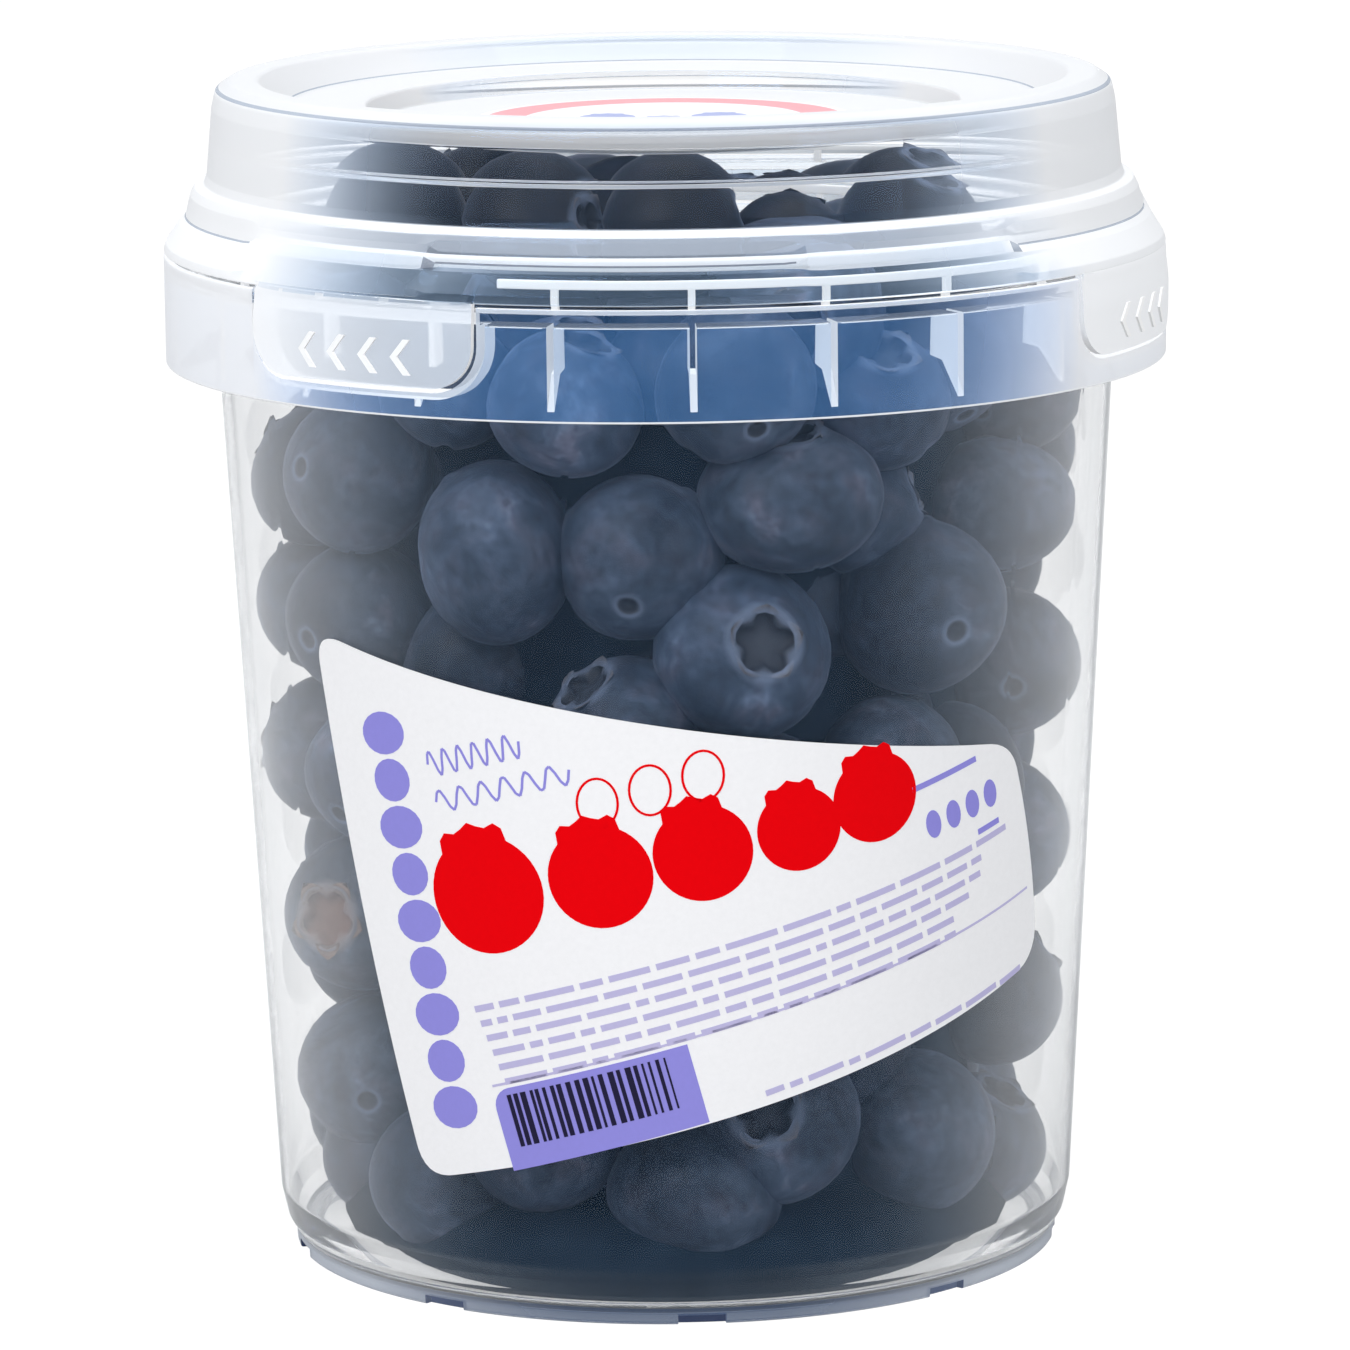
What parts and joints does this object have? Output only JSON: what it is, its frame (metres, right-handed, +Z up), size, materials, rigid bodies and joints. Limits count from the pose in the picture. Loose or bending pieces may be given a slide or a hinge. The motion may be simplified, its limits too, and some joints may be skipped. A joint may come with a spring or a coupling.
{
  "type": "punnet of blueberries",
  "caption": "Round clear plastic tub with a guard skirt and press-on lid with pull tabs, filled with loose blueberries under a slanted paper wrap label.",
  "frame": {"origin": "middle of the foot, on the plane the tub stands on", "axes": "+Z up along the tub's axis, the label faces -Y, +X to the right seen from the front"},
  "size_m": [0.118, 0.1184, 0.1395],
  "materials": {
    "clear_tub": "clear, slightly milky moulded plastic",
    "clear_lid": "clear moulded plastic, milkier on the pull tabs",
    "berry_skin": "dark blue fruit skin with a waxy bloom",
    "label_paper": "smooth coated white paper with printed fields of colour",
    "sticker_paper": "smooth coated paper, pale red"
  },
  "bodies": {
    "root": {"tub": "clear_tub", "lid": "clear_lid", "berries": "berry_skin", "side_label": "label_paper", "lid_sticker": "sticker_paper"}
  },
  "joints": []
}
